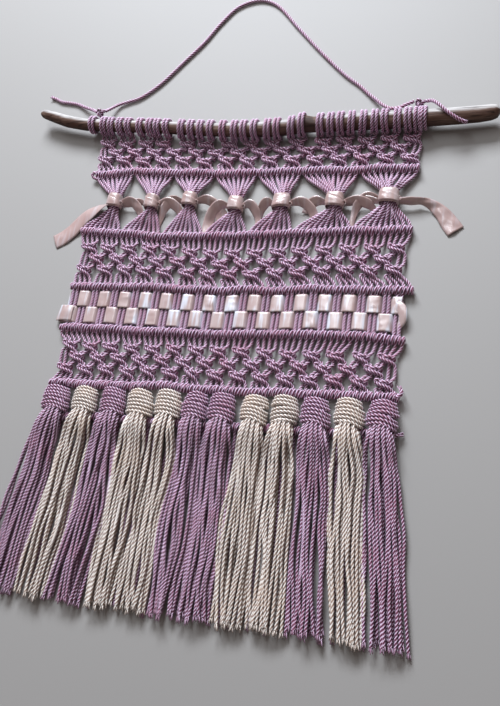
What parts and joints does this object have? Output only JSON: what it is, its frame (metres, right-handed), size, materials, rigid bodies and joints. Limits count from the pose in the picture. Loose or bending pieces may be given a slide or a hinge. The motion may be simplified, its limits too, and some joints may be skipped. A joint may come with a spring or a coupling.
{
  "type": "macrame wall hanging on a driftwood rod",
  "caption": "Macrame wall hanging on a driftwood rod: knotted net bands, ribbon-tied cord bundles, a woven ribbon row, wrapped tassels and a long fringe, lying flat.",
  "frame": {"origin": "on the surface that the piece lies on, under the middle of the third bar of knots", "axes": "+X to the right along the rod, +Y up the hanging towards its cord, +Z out of its front face, which lies upwards"},
  "size_m": [0.4276, 0.5638, 0.0218],
  "materials": {
    "mauve_cord": "matt three-ply twisted cotton cord",
    "cream_cord": "matt three-ply twisted cotton cord",
    "satin_ribbon": "creased satin ribbon",
    "driftwood": "bare weathered driftwood"
  },
  "bodies": {
    "root": {"rod": "driftwood", "band_a": "mauve_cord", "band_b": "mauve_cord", "band_c": "mauve_cord", "row_1": "mauve_cord", "row_2": "mauve_cord", "row_3": "mauve_cord", "row_4": "mauve_cord", "row_5": "mauve_cord", "row_6": "mauve_cord", "bundle_1": "mauve_cord", "bundle_2": "mauve_cord", "bundle_3": "mauve_cord", "bundle_4": "mauve_cord", "bundle_5": "mauve_cord", "bundle_6": "mauve_cord", "bundle_7": "mauve_cord", "tie_ribbon": "satin_ribbon", "woven_ribbon": "satin_ribbon", "head_01": "mauve_cord", "skirt_01": "mauve_cord", "head_02": "cream_cord", "skirt_02": "cream_cord", "head_03": "mauve_cord", "skirt_03": "mauve_cord", "head_04": "cream_cord", "skirt_04": "cream_cord", "head_05": "cream_cord", "skirt_05": "cream_cord", "head_06": "mauve_cord", "skirt_06": "mauve_cord", "head_07": "mauve_cord", "skirt_07": "mauve_cord", "head_08": "cream_cord", "skirt_08": "cream_cord", "head_09": "cream_cord", "skirt_09": "cream_cord", "head_10": "mauve_cord", "skirt_10": "mauve_cord", "head_11": "cream_cord", "skirt_11": "cream_cord", "head_12": "mauve_cord", "skirt_12": "mauve_cord", "back_fringe": "mauve_cord", "hanger_wrap_left": "mauve_cord", "hanger_wrap_right": "mauve_cord", "hanger_knot_left": "mauve_cord", "hanger_knot_right": "mauve_cord", "hanger_loop": "mauve_cord", "hanger_end_left": "mauve_cord", "hanger_end_right": "mauve_cord"}
  },
  "joints": []
}
